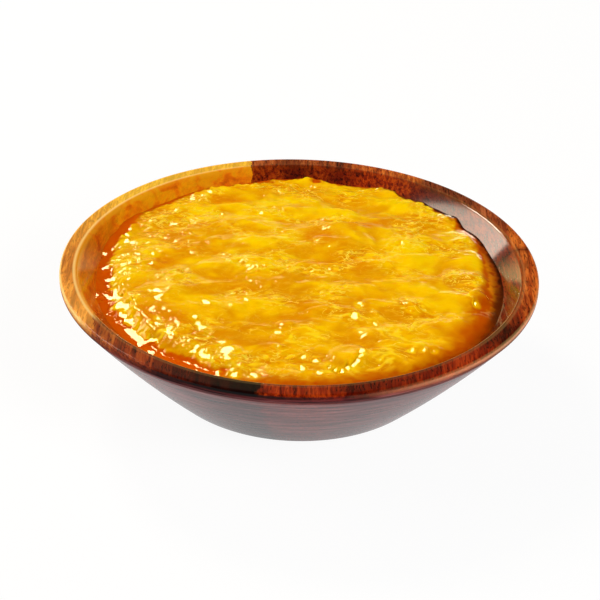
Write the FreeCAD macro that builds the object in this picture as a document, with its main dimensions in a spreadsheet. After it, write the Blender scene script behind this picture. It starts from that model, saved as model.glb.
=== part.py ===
import FreeCAD, Part

import math
import os
import random

import Sketcher

# A round turned wooden bowl, filled almost to the rim with apricot jam.
# Millimetres, +Z up. The origin is the middle of the foot, on the surface that the bowl stands on.

# Driving dimensions: alias, value, meaning.
SIZES = [
    ("rim_diameter", 150.0, "bowl across its rim"),
    ("bowl_height", 37.5, "foot to rim"),
    ("rim_width", 5.4, "flat rim face, outer to inner edge"),
    ("lip_height", 2.2, "upright lip round the outside of the rim"),
    ("rim_outer_round", 0.9, "rounding of the rim's outer edge"),
    ("rim_inner_round", 0.9, "rounding of the rim's inner edge"),
    ("lip_lower_round", 0.6, "rounding between the lip and the outer wall"),
    ("foot_diameter", 88.0, "flat foot, before its edge is rounded"),
    ("foot_round", 1.5, "rounding of the foot's edge"),
    ("foot_ring_width", 8.0, "flat ring that the bowl stands on"),
    ("foot_recess", 1.0, "depth turned away inside the foot ring"),
    ("wall_bulge", 0.7, "outward swell of the outer wall between lip and foot"),
    ("floor_thickness", 6.5, "wood between the foot plane and the inside floor"),
    ("inside_corner", 30.0, "radius between inner wall and floor"),
    ("jam_clearance", 0.05, "gap between jam and wood"),
    ("jam_drop", 4.2, "rim down to the jam where it meets the wall"),
    ("jam_crown", 1.7, "rise of the jam towards the middle"),
    ("ridge_height", 0.35, "half height of the pulp's ridges"),
    ("ridge_spacing", 13.0, "crest to crest across the ridges"),
    ("ridge_wander", 3.0, "sideways sway of a ridge"),
    ("lump_height", 1.0, "rise of the largest lump of fruit"),
    ("lump_radius", 5.6, "spread of a middling lump of fruit"),
    ("left_syrup_drop", 6.5, "rim down to the syrup in the left pocket"),
    ("left_syrup_width", 7.2, "wall to pulp in the left pocket"),
    ("right_syrup_drop", 5.6, "rim down to the syrup in the right pocket"),
    ("right_syrup_width", 7.0, "wall to pulp in the right pocket"),
    ("pulp_edge_width", 3.6, "width of the slope from pulp down to syrup"),
]

LUMP_COUNT = 50
LUMP_SEED = 7
SURFACE_SPANS = 32  # spans each way of the jam's top surface

# Ridges of fruit fibre run mostly from side to side.
# Each set: share of the ridge height, share of the spacing, turn from the X axis in degrees, shift.
RIDGE_SETS = [
    (1.0, 1.0, 8.0, 0.0),
    (0.7, 0.63, -14.0, 1.9),
    (0.8, 1.7, 31.0, 4.1),
]

# Pockets where clear syrup stands between the pulp and the wall: side, azimuth and half width in degrees.
POCKETS = [
    ("left", 205.0, 36.0),
    ("right", 0.0, 36.0),
]

doc = FreeCAD.newDocument("BowlOfApricotJam")
vector = FreeCAD.Vector


# ---------------------------------------------------------------- sizes

def make_sheet():
    """The spreadsheet that drives every sub-part."""
    made = doc.addObject("Spreadsheet::Sheet", "Sizes")
    for row, (alias, value, meaning) in enumerate(SIZES, start=1):
        made.set(f"A{row}", meaning)
        made.set(f"B{row}", str(value))
        made.setAlias(f"B{row}", alias)
    doc.recompute()
    return made


sheet = make_sheet()


def size(alias):
    return float(getattr(sheet, alias))


# Expressions that both sketches share.
RIM_RADIUS = "Sizes.rim_diameter / 2"
FOOT_RADIUS = "Sizes.foot_diameter / 2"
INNER_RADIUS = "Sizes.rim_diameter / 2 - Sizes.rim_width"
LIP_LOW = "Sizes.bowl_height - Sizes.lip_height"
WALL_CHORD_SQUARED = f"(({RIM_RADIUS} - {FOOT_RADIUS})^2 + ({LIP_LOW})^2)"
WALL_RADIUS = f"{WALL_CHORD_SQUARED} / (8 * Sizes.wall_bulge) + Sizes.wall_bulge / 2"


def section():
    """Corner points of the half section in the XZ plane, from the sheet."""
    rim = size("rim_diameter") / 2
    height = size("bowl_height")
    foot = size("foot_diameter") / 2
    lip_low = height - size("lip_height")
    return {
        "rim": (rim, height),
        "inner": (rim - size("rim_width"), height),
        "lip": (rim, lip_low),
        "foot": (foot, 0.0),
        "slope": math.atan2(lip_low, rim - foot),
    }


def wall_radius_at(drop):
    """Radius of the inner wall at a depth below the rim, above the rounded corner."""
    points = section()
    return points["inner"][0] - drop / math.tan(points["slope"])


# ---------------------------------------------------------------- sketch helpers

def new_sketch(body, name):
    """A sketch on the body's own XZ plane: sketch X is +X, sketch Y is +Z."""
    sketch = body.newObject("Sketcher::SketchObject", name)
    plane = [item for item in body.Origin.OriginFeatures if item.Role == "XZ_Plane"][0]
    sketch.AttachmentSupport = (plane, [""])
    sketch.MapMode = "FlatFace"
    return sketch


def add_line(sketch, start, end, construction=False):
    segment = Part.LineSegment(vector(*start, 0), vector(*end, 0))
    return sketch.addGeometry(segment, construction)


def add_arc(sketch, centre, start, end):
    """An arc that runs anticlockwise from start to end about centre."""
    angles = [math.atan2(p[1] - centre[1], p[0] - centre[0]) for p in (start, end)]
    radius = math.hypot(start[0] - centre[0], start[1] - centre[1])
    circle = Part.Circle(vector(*centre, 0), vector(0, 0, 1), radius)
    return sketch.addGeometry(Part.ArcOfCircle(circle, *angles), False)


def drive(sketch, name, expression, kind, *places):
    """A named dimension whose value comes from the sheet."""
    value = float(sketch.evalExpression(expression))
    index = sketch.addConstraint(Sketcher.Constraint(kind, *places, value))
    sketch.renameConstraint(index, name)
    sketch.setExpression(f"Constraints.{name}", expression)


def relate(sketch, kind, *places):
    sketch.addConstraint(Sketcher.Constraint(kind, *places))


def revolve(body, sketch, name):
    """Turns a closed half section once about the vertical axis."""
    turned = body.newObject("PartDesign::Revolution", name)
    turned.Profile = sketch
    turned.ReferenceAxis = (sketch, ["V_Axis"])
    turned.Angle = 360
    sketch.Visibility = False
    doc.recompute()
    return turned


START, END, ORIGIN = 1, 2, -1  # the two ends of an edge, and the sketch's origin


def add_wall_chord(sketch):
    """Construction line from the foot's edge to the lip's lower edge: the inner wall runs parallel to it."""
    points = section()
    chord = add_line(sketch, points["foot"], points["lip"], construction=True)
    drive(sketch, "foot_radius", FOOT_RADIUS, "DistanceX", ORIGIN, START, chord, START)
    relate(sketch, "PointOnObject", chord, START, -1)
    drive(sketch, "lip_radius", RIM_RADIUS, "DistanceX", ORIGIN, START, chord, END)
    drive(sketch, "lip_low", LIP_LOW, "DistanceY", ORIGIN, START, chord, END)
    return chord


def add_inside(sketch, gap, gap_expression):
    """Floor, rounded corner and inner wall, moved inwards by a gap. Returns floor, corner, wall and chord."""
    points = section()
    slope = points["slope"]
    floor = size("floor_thickness") + gap
    radius = size("inside_corner") - gap
    top = (points["inner"][0] - gap / math.sin(slope), points["inner"][1])
    meet = top[0] - (top[1] - floor) / math.tan(slope)
    tangent = radius * math.tan(slope / 2)
    low = (meet - tangent, floor)
    high = (meet + tangent * math.cos(slope), floor + tangent * math.sin(slope))
    base = add_line(sketch, (0.0, floor), low)
    corner = add_arc(sketch, (low[0], floor + radius), low, high)
    wall = add_line(sketch, high, top)
    chord = add_wall_chord(sketch)
    edge = sketch.addGeometry(Part.Point(vector(*points["inner"], 0)), True)
    drive(sketch, "inner_radius", INNER_RADIUS, "DistanceX", ORIGIN, START, edge, START)
    drive(sketch, "edge_height", "Sizes.bowl_height", "DistanceY", ORIGIN, START, edge, START)
    relate(sketch, "PointOnObject", base, START, -2)
    relate(sketch, "Horizontal", base)
    relate(sketch, "Tangent", base, END, corner, START)
    relate(sketch, "Tangent", corner, END, wall, START)
    relate(sketch, "Parallel", wall, chord)
    drive(sketch, "floor_height", f"Sizes.floor_thickness + {gap_expression}", "DistanceY",
          ORIGIN, START, base, START)
    drive(sketch, "corner_radius", f"Sizes.inside_corner - {gap_expression}", "Radius", corner)
    if gap:
        drive(sketch, "wall_gap", gap_expression, "Distance", edge, START, wall)
    else:
        relate(sketch, "Coincident", edge, START, wall, END)
    return base, corner, wall, chord


# ---------------------------------------------------------------- bowl

def circle_edges(shape, radius, height):
    """Names of the shape's circular edges about the Z axis with this radius and height."""
    names = []
    for number, edge in enumerate(shape.Edges, start=1):
        if not isinstance(edge.Curve, Part.Circle):
            continue
        centre = edge.Curve.Center
        near = abs(edge.Curve.Radius - radius) < 1e-4 and abs(centre.z - height) < 1e-4
        if near and math.hypot(centre.x, centre.y) < 1e-4:
            names.append(f"Edge{number}")
    return names


def round_edge(body, base, name, place, radius_alias):
    """Rounds one turned edge, found by its radius and height."""
    names = circle_edges(base.Shape, *place)
    if not names:
        raise RuntimeError(f"{name}: no edge at {place}")
    rounded = body.newObject("PartDesign::Fillet", name)
    rounded.Base = (base, names)
    rounded.setExpression("Radius", f"Sizes.{radius_alias}")
    doc.recompute()
    return rounded


def make_bowl():
    """The turned bowl: one half section revolved, then its edges eased."""
    body = doc.addObject("PartDesign::Body", "bowl")
    body.Label = "bowl"
    sketch = new_sketch(body, "BowlSection")
    points = section()
    ring = points["foot"][0] - size("foot_ring_width")
    recess = size("foot_recess")
    floor, _corner, wall, chord = add_inside(sketch, 0.0, "0")

    # Rim, lip, outer wall and foot, from the inner edge round to the axis.
    rim = add_line(sketch, points["inner"], points["rim"])
    lip = add_line(sketch, points["rim"], points["lip"])
    swell = size("wall_bulge")
    half = math.dist(points["foot"], points["lip"]) / 2
    bend = half * half / (2 * swell) + swell / 2
    middle = [(a + b) / 2 for a, b in zip(points["foot"], points["lip"])]
    back = bend - swell
    centre = (middle[0] - back * math.sin(points["slope"]), middle[1] + back * math.cos(points["slope"]))
    outer = add_arc(sketch, centre, points["foot"], points["lip"])
    foot = add_line(sketch, points["foot"], (ring, 0.0))
    step = add_line(sketch, (ring, 0.0), (ring, recess))
    under = add_line(sketch, (ring, recess), (0.0, recess))
    axis = add_line(sketch, (0.0, recess), (0.0, size("floor_thickness")))

    relate(sketch, "Coincident", wall, END, rim, START)
    relate(sketch, "Coincident", rim, END, lip, START)
    relate(sketch, "Coincident", lip, END, chord, END)
    relate(sketch, "Coincident", outer, END, chord, END)
    relate(sketch, "Coincident", outer, START, chord, START)
    relate(sketch, "Coincident", foot, START, chord, START)
    relate(sketch, "Coincident", foot, END, step, START)
    relate(sketch, "Coincident", step, END, under, START)
    relate(sketch, "Coincident", under, END, axis, START)
    relate(sketch, "Coincident", axis, END, floor, START)
    relate(sketch, "Horizontal", rim)
    relate(sketch, "Vertical", lip)
    relate(sketch, "Horizontal", foot)
    relate(sketch, "Vertical", step)
    relate(sketch, "Horizontal", under)
    relate(sketch, "Vertical", axis)
    drive(sketch, "wall_radius", WALL_RADIUS, "Radius", outer)
    drive(sketch, "ring_radius", f"{FOOT_RADIUS} - Sizes.foot_ring_width", "DistanceX", ORIGIN, START, step, START)
    drive(sketch, "recess_depth", "Sizes.foot_recess", "DistanceY", ORIGIN, START, under, START)

    turned = revolve(body, sketch, "TurnedBlank")
    eased = round_edge(body, turned, "RimOuterEdge", points["rim"], "rim_outer_round")
    eased = round_edge(body, eased, "RimInnerEdge", points["inner"], "rim_inner_round")
    eased = round_edge(body, eased, "LipLowerEdge", points["lip"], "lip_lower_round")
    body.Tip = round_edge(body, eased, "FootEdge", points["foot"], "foot_round")
    return body


# ---------------------------------------------------------------- jam

def make_cavity_fill():
    """What the cavity would hold up to the rim plane, less the clearance to the wood."""
    body = doc.addObject("PartDesign::Body", "CavityFill")
    sketch = new_sketch(body, "CavitySection")
    floor, _corner, wall, _chord = add_inside(sketch, size("jam_clearance"), "Sizes.jam_clearance")
    points = section()
    level = points["inner"][1]
    inner = points["inner"][0] - size("jam_clearance") / math.sin(points["slope"])
    top = add_line(sketch, (inner, level), (0.0, level))
    axis = add_line(sketch, (0.0, level), (0.0, size("floor_thickness")))
    relate(sketch, "Coincident", wall, END, top, START)
    relate(sketch, "Coincident", top, END, axis, START)
    relate(sketch, "Coincident", axis, END, floor, START)
    relate(sketch, "Horizontal", top)
    relate(sketch, "Vertical", axis)
    drive(sketch, "top_height", "Sizes.bowl_height", "DistanceY", ORIGIN, START, top, END)
    revolve(body, sketch, "CavityTurn")
    return body


def make_lumps(contact):
    """Soft lumps of fruit, scattered over the jam: middle x and y, spread, height. A few are hollows."""
    draw = random.Random(LUMP_SEED)
    lumps = []
    for _ in range(LUMP_COUNT):
        turn = draw.uniform(0.0, 2 * math.pi)
        out = contact * math.sqrt(draw.random())
        spread = size("lump_radius") * draw.uniform(0.6, 1.5)
        height = size("lump_height") * draw.uniform(-0.55, 1.0)
        lumps.append((out * math.cos(turn), out * math.sin(turn), spread, height))
    return lumps


def ridge_rise(x, y):
    """Height of the crossing sets of swaying ridges."""
    rise = 0.0
    for share, spacing, turn, shift in RIDGE_SETS:
        angle = math.radians(turn)
        along = x * math.cos(angle) + y * math.sin(angle)
        across = y * math.cos(angle) - x * math.sin(angle)
        sway = size("ridge_wander") * math.sin(along / (spacing * size("ridge_spacing")) + shift)
        wave = 2 * math.pi * (across + sway) / (spacing * size("ridge_spacing"))
        rise += share * size("ridge_height") * math.sin(wave + shift)
    return rise


def smooth_step(value):
    """0 below 0, 1 above 1 and a soft curve between."""
    value = min(max(value, 0.0), 1.0)
    return value * value * (3 - 2 * value)


def syrup_share(out, azimuth, pocket, contact):
    """How far a place lies in a pocket, from 0 on the pulp to 1 on the syrup."""
    side, middle, half_width = pocket
    swing = abs((azimuth - middle + 180) % 360 - 180) / half_width
    reach = size(f"{side}_syrup_width") * smooth_step(1.5 * (1 - swing))
    edge = contact - reach
    return smooth_step((out - edge) / size("pulp_edge_width") + 0.5) if swing < 1 else 0.0


def jam_height(x, y, lumps, contact):
    """Height of the jam's top above the foot plane."""
    out = math.hypot(x, y)
    azimuth = math.degrees(math.atan2(y, x))
    rim = size("bowl_height")
    crown = size("jam_crown") * (1 - min(out / contact, 1.0) ** 2)
    height = rim - size("jam_drop") + crown + ridge_rise(x, y)
    for lump_x, lump_y, spread, rise in lumps:
        away = ((x - lump_x) ** 2 + (y - lump_y) ** 2) / (2 * spread * spread)
        if away < 9:
            height += rise * math.exp(-away)
    for pocket in POCKETS:
        share = syrup_share(out, azimuth, pocket, contact)
        level = rim - size(f"{pocket[0]}_syrup_drop")
        height += (level - height) * share
    return height


def make_jam_top():
    """The jam's uneven top: a smooth surface through a square net of heights, wider than the cavity."""
    contact = wall_radius_at(size("jam_drop"))
    lumps = make_lumps(contact)
    half = size("rim_diameter") / 2
    marks = [half * (2 * i / SURFACE_SPANS - 1) for i in range(SURFACE_SPANS + 1)]
    net = [[vector(x, y, jam_height(x, y, lumps, contact)) for y in marks] for x in marks]
    surface = Part.BSplineSurface()
    surface.interpolate(net)
    top = doc.addObject("Part::Feature", "JamTop")
    top.Shape = surface.toShape()
    inside = [p.z for line in net for p in line if math.hypot(p.x, p.y) < contact]
    print(f"jam top from {min(inside):.2f} to {max(inside):.2f} mm, rim at {size('bowl_height')}")
    return top


def make_jam():
    """The jam: all of the cavity that lies under its uneven top."""
    under = doc.addObject("Part::Extrusion", "UnderJamTop")
    under.Base = make_jam_top()
    under.DirMode = "Custom"
    under.Dir = vector(0, 0, -1)
    under.setExpression("LengthFwd", "Sizes.bowl_height")
    under.Solid = True
    jam = doc.addObject("Part::Common", "apricot_jam")
    jam.Label = "apricot_jam"
    jam.Base = make_cavity_fill()
    jam.Tool = under
    return jam


# ---------------------------------------------------------------- build, test and write

def check_document(pieces):
    """Stops at any failed object, and at any sub-part that isn't one sound solid."""
    for item in doc.Objects:
        if {"Invalid", "Error"} & set(item.State):
            raise RuntimeError(f"{item.Name}: {item.State}")
    for piece in pieces:
        shape = piece.Shape
        if shape.isNull() or not shape.isValid() or len(shape.Solids) != 1:
            raise RuntimeError(f"{piece.Label}: not one sound solid")


def write_parts(pieces):
    os.makedirs("parts", exist_ok=True)
    for piece in pieces:
        piece.Shape.exportStep(os.path.join("parts", piece.Label + ".step"))
        box = piece.Shape.optimalBoundingBox()
        print(f"{piece.Label}: {box.XLength:.2f} x {box.YLength:.2f} x {box.ZLength:.2f} mm,"
              f" z {box.ZMin:.2f} to {box.ZMax:.2f}, volume {piece.Shape.Volume / 1000:.1f} cm3")


sub_parts = [make_bowl(), make_jam()]
for sub_part in sub_parts:
    sub_part.Placement = FreeCAD.Placement()
doc.recompute()
check_document(sub_parts)
write_parts(sub_parts)
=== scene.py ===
# %% [markdown]
# # A bowl of apricot jam
# The real thing is a small turned wooden bowl, glued up from strips of acacia and lacquered, with thick
# apricot jam in it: soft golden pulp, pale fruit fibres, and clear syrup where the pulp is off the wall.
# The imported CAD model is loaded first. It fixes every size, and each piece made here is fitted to it.

import math
import random

import bpy
import numpy as np
from mathutils import Matrix, Quaternion, Vector
from mathutils.bvhtree import BVHTree


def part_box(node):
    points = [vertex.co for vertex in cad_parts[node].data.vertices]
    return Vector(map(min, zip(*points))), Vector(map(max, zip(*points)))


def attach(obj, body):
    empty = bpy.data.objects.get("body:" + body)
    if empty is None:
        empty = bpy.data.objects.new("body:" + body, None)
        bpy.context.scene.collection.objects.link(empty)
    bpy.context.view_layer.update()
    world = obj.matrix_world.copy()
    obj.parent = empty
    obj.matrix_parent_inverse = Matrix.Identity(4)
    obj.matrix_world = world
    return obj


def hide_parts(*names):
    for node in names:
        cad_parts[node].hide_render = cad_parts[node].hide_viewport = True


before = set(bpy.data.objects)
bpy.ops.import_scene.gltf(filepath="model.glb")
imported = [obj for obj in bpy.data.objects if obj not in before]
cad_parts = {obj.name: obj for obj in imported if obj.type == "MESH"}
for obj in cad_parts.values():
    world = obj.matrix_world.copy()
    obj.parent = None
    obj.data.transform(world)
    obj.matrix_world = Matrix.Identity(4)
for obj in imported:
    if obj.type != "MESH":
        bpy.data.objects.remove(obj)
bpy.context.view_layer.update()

MM = 0.001
bowl_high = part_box("bowl")[1]
RIM_RADIUS = bowl_high.x
RIM_HEIGHT = bowl_high.z
print("bowl", round(RIM_RADIUS / MM, 2), "mm radius,", round(RIM_HEIGHT / MM, 2), "mm high")

# %% [markdown]
# ## Small helpers
# Operators act on whatever is selected, so each piece begins by deselecting everything, the frame's own
# nodes too. Colours are written as the hex values a paint chart would give, and turned to linear once.

# %% Helpers for selection, colour and nodes


def deselect_all():
    """Leaves nothing selected."""
    for thing in bpy.context.selected_objects:
        thing.select_set(False)


def make_active(thing):
    """Selects one object and nothing else."""
    deselect_all()
    thing.select_set(True)
    bpy.context.view_layer.objects.active = thing
    return thing


def linear(hex_colour):
    """An sRGB hex colour as the linear values that a shader takes."""
    channels = [int(hex_colour[i:i + 2], 16) / 255 for i in (1, 3, 5)]
    return [c / 12.92 if c <= 0.04045 else ((c + 0.055) / 1.055) ** 2.4 for c in channels] + [1.0]


def fill(tree, node, sockets):
    """Gives each socket a link, a hex colour or a constant; a node stands for its first open output."""
    for socket, value in sockets.items():
        if isinstance(value, bpy.types.Node):
            value = next(output for output in value.outputs if output.enabled)
        if isinstance(value, bpy.types.NodeSocket):
            tree.links.new(value, node.inputs[socket])
        else:
            node.inputs[socket].default_value = linear(value) if isinstance(value, str) else value


def add_node(tree, kind, sockets=None, stops=None, **settings):
    """Adds a shader node with its settings, its sockets and, on a colour ramp, its stops."""
    node = tree.nodes.new("ShaderNode" + kind)
    for name, value in settings.items():
        setattr(node, name, value)
    fill(tree, node, sockets or {})
    if stops:
        marks = node.color_ramp.elements
        marks.remove(marks[-1])
        marks[0].position = stops[0][0]
        for index, (position, colour) in enumerate(stops):
            mark = marks.new(position) if index else marks[0]
            mark.color = linear(colour) if isinstance(colour, str) else (colour, colour, colour, 1)
    return node


# Settings that many nodes share: a plain mix of two colours, one times the other, and a soft step.
MIX = {"data_type": "RGBA"}
TIMES = {"data_type": "RGBA", "blend_type": "MULTIPLY"}
SOFT = {"interpolation_type": "SMOOTHSTEP"}


def new_material(name):
    """A material with a Principled shader and its node tree."""
    material = bpy.data.materials.new(name)
    material.use_nodes = True
    return material, material.node_tree, material.node_tree.nodes["Principled BSDF"]


# %% [markdown]
# ## Floor, light and camera
# The bowl stands on a plain white table in a bright studio: a long window softbox at the left, a small high
# lamp behind it that gives the sharp glints, a broad fill from the front right, and an even pale surround.
# The floor shows as white to the camera and in reflections, and still takes a faint shadow from the bowl.

# %% Floor

FLOOR_SIZE = 6.0
FLOOR_GLOW = 0.93


def make_floor():
    """A wide plane that glows almost white for what looks at it and is plain pale paint for the light."""
    deselect_all()
    bpy.ops.mesh.primitive_plane_add(size=FLOOR_SIZE, location=(0, 0, 0))
    floor = bpy.context.active_object
    floor.name = "studio_floor"
    material, tree, shader = new_material("white_studio_floor")
    fill(tree, shader, {"Base Color": "#F4F4F4", "Roughness": 0.9})
    path = add_node(tree, "LightPath")
    seen = path.outputs["Is Camera Ray"]
    for ray in ("Is Glossy Ray", "Is Transmission Ray"):
        seen = add_node(tree, "Math", {0: seen, 1: path.outputs[ray]}, operation="MAXIMUM")
    share = add_node(tree, "Math", {0: seen, 1: FLOOR_GLOW}, operation="MULTIPLY")
    glow = add_node(tree, "Emission", {"Color": "#FFFFFF"})
    mix = add_node(tree, "MixShader", {0: share, 1: shader, 2: glow})
    fill(tree, tree.nodes["Material Output"], {"Surface": mix})
    floor.data.materials.append(material)


make_floor()
print("floor", FLOOR_SIZE, "m wide")

# %% Lights

LAMP_DISTANCE = 1.1
LAMP_TARGET = Vector((0, 0, 0.03))


def area_light(name, direction, width, height, watts, tone="#FFFFFF", roll=0.0):
    """A soft box in a direction from the bowl that faces it, rolled by degrees about that direction."""
    lamp = bpy.data.lights.new(name, "AREA")
    lamp.shape = "RECTANGLE"
    lamp.size = width
    lamp.size_y = height
    lamp.energy = watts
    lamp.color = linear(tone)[:3]
    holder = bpy.data.objects.new(name, lamp)
    bpy.context.scene.collection.objects.link(holder)
    away = Vector(direction).normalized()
    holder.location = LAMP_TARGET + away * LAMP_DISTANCE
    holder.rotation_mode = "QUATERNION"
    holder.rotation_quaternion = away.to_track_quat("Z", "Y") @ Quaternion((0, 0, 1), math.radians(roll))
    return holder


area_light("window_softbox", (-0.844, 0.258, 0.469), 1.20, 0.36, 7.8, "#FFF2DC", roll=25)
high_lamp = area_light("high_lamp", (-0.40, 0.62, 0.67), 0.28, 0.28, 7.0, "#FFF4D8")
front_fill = area_light("front_right_fill", (0.62, -0.55, 0.56), 0.55, 0.55, 11.0)
# Seen from behind, this lamp would mirror over the whole wet jam, so it gives soft light and no reflection.
front_fill.visible_glossy = False
print("lamps", [light.name for light in bpy.data.lights])

# %% Surround

# Brightness by height, then less to the right, then more at the back, where a warm lit wall stands:
# the axis, where the step starts and ends, and the strength before and after it.
SURROUND = [("Z", 0.10, 0.27, 1.0, 0.025), ("X", 0.15, 0.65, 1.0, 0.25), ("Y", 0.20, 0.70, 1.0, 1.7)]


def make_world():
    """A white table and backdrop glow near the horizon; the room above them is dimmer."""
    world = bpy.data.worlds.new("studio_surround")
    bpy.context.scene.world = world
    world.use_nodes = True
    tree = world.node_tree
    split = add_node(tree, "SeparateXYZ", {0: add_node(tree, "TexCoord").outputs["Generated"]})
    parts = []
    for axis, start, end, first, last in SURROUND:
        parts.append(add_node(tree, "MapRange", {
            "Value": split.outputs[axis], "From Min": start, "From Max": end,
            "To Min": first, "To Max": last}, **SOFT))
    glow = parts[0]
    for part in parts[1:]:
        glow = add_node(tree, "Math", {0: glow, 1: part}, operation="MULTIPLY")
    back = add_node(tree, "MapRange", {
        "Value": split.outputs["Y"], "From Min": 0.20, "From Max": 0.70}, **SOFT)
    hue = add_node(tree, "Mix", {0: back, 6: "#F2F3FA", 7: "#FFE89C"}, **MIX)
    soft = tree.nodes["Background"]
    fill(tree, soft, {"Color": hue, "Strength": glow})
    white = add_node(tree, "Background", {"Color": "#FFFFFF", "Strength": 1.0})
    path = add_node(tree, "LightPath")
    mix = add_node(tree, "MixShader", {0: path.outputs["Is Camera Ray"], 1: soft, 2: white})
    fill(tree, tree.nodes["World Output"], {"Surface": mix})


make_world()
bpy.context.scene.view_settings.view_transform = "Standard"
print("surround", bpy.context.scene.world.name)

# %% Camera

# The distance and the point that the camera looks at are in radii of the rim.
VIEW_DISTANCE = 7.0
AIM_RIGHT = 0.006
AIM_BELOW_RIM = 0.1823
VIEW_ELEVATION = math.radians(29.34)
VIEW_ROLL = math.radians(1.6)
LENS = 100.1


def make_camera():
    """A long lens half a metre away, looking down about thirty degrees, tipped slightly to the right."""
    distance = VIEW_DISTANCE * RIM_RADIUS
    aim = Vector((AIM_RIGHT * RIM_RADIUS, 0, RIM_HEIGHT - AIM_BELOW_RIM * RIM_RADIUS))
    place = Vector((0, -distance * math.cos(VIEW_ELEVATION),
                    RIM_HEIGHT + distance * math.sin(VIEW_ELEVATION)))
    data = bpy.data.cameras.new("camera")
    data.sensor_width = 36.0
    data.lens = LENS
    data.clip_start = 0.05
    data.clip_end = 20.0
    camera = bpy.data.objects.new("camera", data)
    bpy.context.scene.collection.objects.link(camera)
    forward = (aim - place).normalized()
    right = forward.cross(Vector((0, 0, 1))).normalized()
    up = right.cross(forward)
    tipped_right = right * math.cos(VIEW_ROLL) + up * math.sin(VIEW_ROLL)
    tipped_up = up * math.cos(VIEW_ROLL) - right * math.sin(VIEW_ROLL)
    camera.matrix_world = Matrix((
        (tipped_right.x, tipped_up.x, -forward.x, place.x),
        (tipped_right.y, tipped_up.y, -forward.y, place.y),
        (tipped_right.z, tipped_up.z, -forward.z, place.z),
        (0, 0, 0, 1)))
    bpy.context.scene.camera = camera
    return camera


print("camera", round(make_camera().location.length, 3), "m from the foot")

# %% [markdown]
# ## The turned bowl
# On the lathe the bowl is one section swept round an axis, and it is made the same way here: the half
# section is drawn corner by corner, the corners are rounded, and the line is spun once round.
# The sizes are those of the CAD section, in millimetres.

# %% The bowl's section

RIM_WIDTH = 5.4
LIP_HEIGHT = 2.2
FOOT_RADIUS = 44.0
FOOT_RING = 8.0
FOOT_RECESS = 1.0
FLOOR_THICKNESS = 6.5
INSIDE_CORNER = 30.0
WALL_BULGE = 0.7

rim_mm = RIM_RADIUS / MM
height_mm = RIM_HEIGHT / MM
wall_slope = math.atan2(height_mm - LIP_HEIGHT, rim_mm - FOOT_RADIUS)
inner_mm = rim_mm - RIM_WIDTH


def wall_radius(height):
    """Radius of the bowl's inner face at a height above the foot, both in millimetres."""
    floor_meet = inner_mm - (height_mm - FLOOR_THICKNESS) / math.tan(wall_slope)
    tangent = INSIDE_CORNER * math.tan(wall_slope / 2)
    corner_top = FLOOR_THICKNESS + tangent * math.sin(wall_slope)
    if height >= corner_top:
        return inner_mm - (height_mm - height) / math.tan(wall_slope)
    drop = FLOOR_THICKNESS + INSIDE_CORNER - height
    return floor_meet - tangent + math.sqrt(max(INSIDE_CORNER ** 2 - drop ** 2, 0.0))


def arc_points(start, end, bulge, count):
    """Points along a shallow arc between two corners, without its ends; bulge is to the right of travel."""
    (x0, z0), (x1, z1) = start, end
    length = math.hypot(x1 - x0, z1 - z0)
    side = ((z1 - z0) / length, -(x1 - x0) / length)
    points = []
    for i in range(1, count):
        t = i / count
        out = 4 * bulge * t * (1 - t)
        points.append((x0 + (x1 - x0) * t + side[0] * out, z0 + (z1 - z0) * t + side[1] * out))
    return points


def rounded(corner, before, after, radius, count=5):
    """Points that replace a sharp corner with an arc of a radius."""
    a = Vector(before) - Vector(corner)
    b = Vector(after) - Vector(corner)
    a.normalize()
    b.normalize()
    half = math.acos(max(-1, min(1, a.dot(b)))) / 2
    reach = radius / math.tan(half)
    middle = Vector(corner) + (a + b).normalized() * radius / math.sin(half)
    first = Vector(corner) + a * reach - middle
    last = Vector(corner) + b * reach - middle
    points = []
    for i in range(count + 1):
        mixed = first.lerp(last, i / count)
        points.append(tuple(middle + mixed.normalized() * radius))
    return points


def bowl_section():
    """The closed half section from the axis under the foot, round the outside, to the axis inside."""
    ring = FOOT_RADIUS - FOOT_RING
    foot, lip = (FOOT_RADIUS, 0.0), (rim_mm, height_mm - LIP_HEIGHT)
    rim, inner = (rim_mm, height_mm), (inner_mm, height_mm)
    outer = arc_points(foot, lip, WALL_BULGE, 14)
    points = [(0.0, FOOT_RECESS), (ring * 0.5, FOOT_RECESS)]
    points += rounded((ring, FOOT_RECESS), (0, FOOT_RECESS), (ring, 0), 0.3, 2)
    points += rounded((ring, 0.0), (ring, 1), (FOOT_RADIUS, 0), 0.3, 2)
    points += rounded(foot, (0, 0), outer[0], 1.5)
    points += outer[1:-1]
    points += rounded(lip, outer[-1], rim, 0.6, 3)
    points += rounded(rim, lip, inner, 0.9)
    below = (wall_radius(height_mm - 5), height_mm - 5)
    points += rounded(inner, rim, below, 0.9)
    steps = 22
    for i in range(1, steps + 1):
        turn = i / steps
        high = height_mm - 2.0 - (height_mm - 2.0 - FLOOR_THICKNESS) * math.sin(turn * math.pi / 2)
        points.append((wall_radius(high), high))
    points += [(14.0, FLOOR_THICKNESS), (0.0, FLOOR_THICKNESS)]
    return points


section = bowl_section()
print("section of", len(section), "points, wall slope", round(math.degrees(wall_slope), 1), "degrees")

# %% Spin the section


def draw_line(name, points):
    """A chain of edges, extruded point by point from one vertex."""
    deselect_all()
    bpy.ops.mesh.primitive_plane_add(size=1.0, location=(0, 0, 0))
    line = bpy.context.active_object
    line.name = name
    bpy.ops.object.mode_set(mode="EDIT")
    bpy.ops.mesh.merge(type="CENTER")
    x, z = points[0]
    bpy.ops.transform.translate(value=(x * MM, 0, z * MM))
    for (x0, z0), (x1, z1) in zip(points, points[1:]):
        step = ((x1 - x0) * MM, 0, (z1 - z0) * MM)
        bpy.ops.mesh.extrude_region_move(TRANSFORM_OT_translate={"value": step})
    bpy.ops.object.mode_set(mode="OBJECT")
    return line


SPIN_STEPS = 240


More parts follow.
